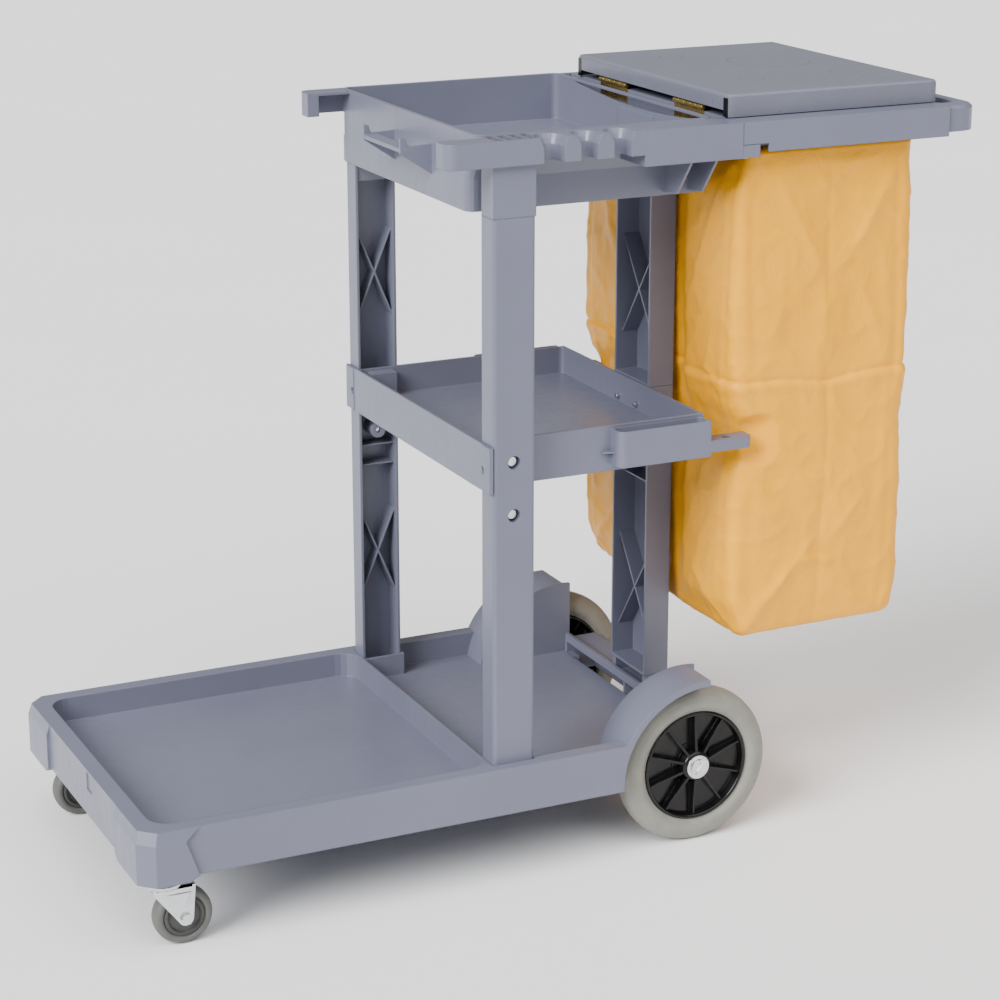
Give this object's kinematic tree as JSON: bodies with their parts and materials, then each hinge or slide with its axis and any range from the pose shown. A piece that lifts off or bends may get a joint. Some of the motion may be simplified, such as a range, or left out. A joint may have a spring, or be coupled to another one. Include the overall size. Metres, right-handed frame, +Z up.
{
  "type": "housekeeping cart",
  "caption": "Wheeled housekeeping cart with a low platform, mid shelf, top tray with tool racks, bag frame with hinged lid and push handle, hanging waste bag, large rear wheels and swivel front casters.",
  "frame": {"origin": "centre of the cart's footprint, on the floor", "axes": "+X towards the waste bag and push handle, +Z up, +Y to the right of somebody pushing from the handle"},
  "size_m": [1.088, 0.471, 0.9236],
  "materials": {
    "body_plastic": "grey-blue moulded plastic, fine texture",
    "hub_plastic": "black moulded plastic",
    "caster_plastic": "dark grey moulded plastic",
    "tyre_rubber": "grey non-marking rubber",
    "zinc_steel": "bright zinc plate",
    "hinge_steel": "yellow zinc plate",
    "bag_vinyl": "yellow coated vinyl cloth"
  },
  "bodies": {
    "cart": {"base_platform": "body_plastic", "near_front_post": "body_plastic", "far_front_post": "body_plastic", "rear_lower_post": "body_plastic", "rear_upper_post": "body_plastic", "middle_shelf": "body_plastic", "top_tray": "body_plastic", "bag_frame": "body_plastic", "rear_axle": "zinc_steel", "near_wheel_washer": "zinc_steel", "near_axle_ring": "zinc_steel", "near_caster_mount": "zinc_steel", "near_post_lower_bolt": "zinc_steel", "near_post_upper_bolt": "zinc_steel", "near_band_screw": "zinc_steel", "near_frame_screw": "zinc_steel", "near_shelf_bolt": "zinc_steel", "far_wheel_washer": "zinc_steel", "far_axle_ring": "zinc_steel", "far_caster_mount": "zinc_steel", "far_post_lower_bolt": "zinc_steel", "far_post_upper_bolt": "zinc_steel", "far_band_screw": "zinc_steel", "far_frame_screw": "zinc_steel", "far_shelf_bolt": "zinc_steel", "near_hinge_frame_leaf": "hinge_steel", "near_hinge_pin": "hinge_steel", "far_hinge_frame_leaf": "hinge_steel", "far_hinge_pin": "hinge_steel", "waste_bag": "bag_vinyl"},
    "lid": {"lid": "body_plastic", "near_hinge_lid_leaf": "hinge_steel", "far_hinge_lid_leaf": "hinge_steel"},
    "near_rear_wheel": {"near_wheel_hub": "hub_plastic", "near_wheel_tyre": "tyre_rubber"},
    "near_caster_swivel": {"near_caster_fork": "zinc_steel", "near_caster_bolt": "zinc_steel", "near_caster_nut": "zinc_steel"},
    "near_caster_wheel": {"near_caster_hub": "caster_plastic", "near_caster_tyre": "tyre_rubber"},
    "far_rear_wheel": {"far_wheel_hub": "hub_plastic", "far_wheel_tyre": "tyre_rubber"},
    "far_caster_swivel": {"far_caster_fork": "zinc_steel", "far_caster_bolt": "zinc_steel", "far_caster_nut": "zinc_steel"},
    "far_caster_wheel": {"far_caster_hub": "caster_plastic", "far_caster_tyre": "tyre_rubber"}
  },
  "joints": [
    {"name": "lid_hinge", "type": "hinge", "parent": "cart", "child": "lid", "pos_m": [0.2118, 0, 0.8995], "axis": [0, -1, 0], "range_deg": [0, 93]},
    {"name": "near_rear_wheel_spin", "type": "hinge", "parent": "cart", "child": "near_rear_wheel", "pos_m": [0.1775, -0.195, 0.1], "axis": [0, 1, 0], "continuous": true},
    {"name": "far_rear_wheel_spin", "type": "hinge", "parent": "cart", "child": "far_rear_wheel", "pos_m": [0.1775, 0.195, 0.1], "axis": [0, 1, 0], "continuous": true},
    {"name": "near_caster_swivel_turn", "type": "hinge", "parent": "cart", "child": "near_caster_swivel", "pos_m": [-0.508, -0.1995, 0.075], "axis": [0, 0, 1], "continuous": true},
    {"name": "near_caster_wheel_spin", "type": "hinge", "parent": "near_caster_swivel", "child": "near_caster_wheel", "pos_m": [-0.487, -0.1995, 0.035], "axis": [0, 1, 0], "continuous": true},
    {"name": "far_caster_swivel_turn", "type": "hinge", "parent": "cart", "child": "far_caster_swivel", "pos_m": [-0.508, 0.1995, 0.075], "axis": [0, 0, 1], "continuous": true},
    {"name": "far_caster_wheel_spin", "type": "hinge", "parent": "far_caster_swivel", "child": "far_caster_wheel", "pos_m": [-0.487, 0.1995, 0.035], "axis": [0, 1, 0], "continuous": true}
  ]
}
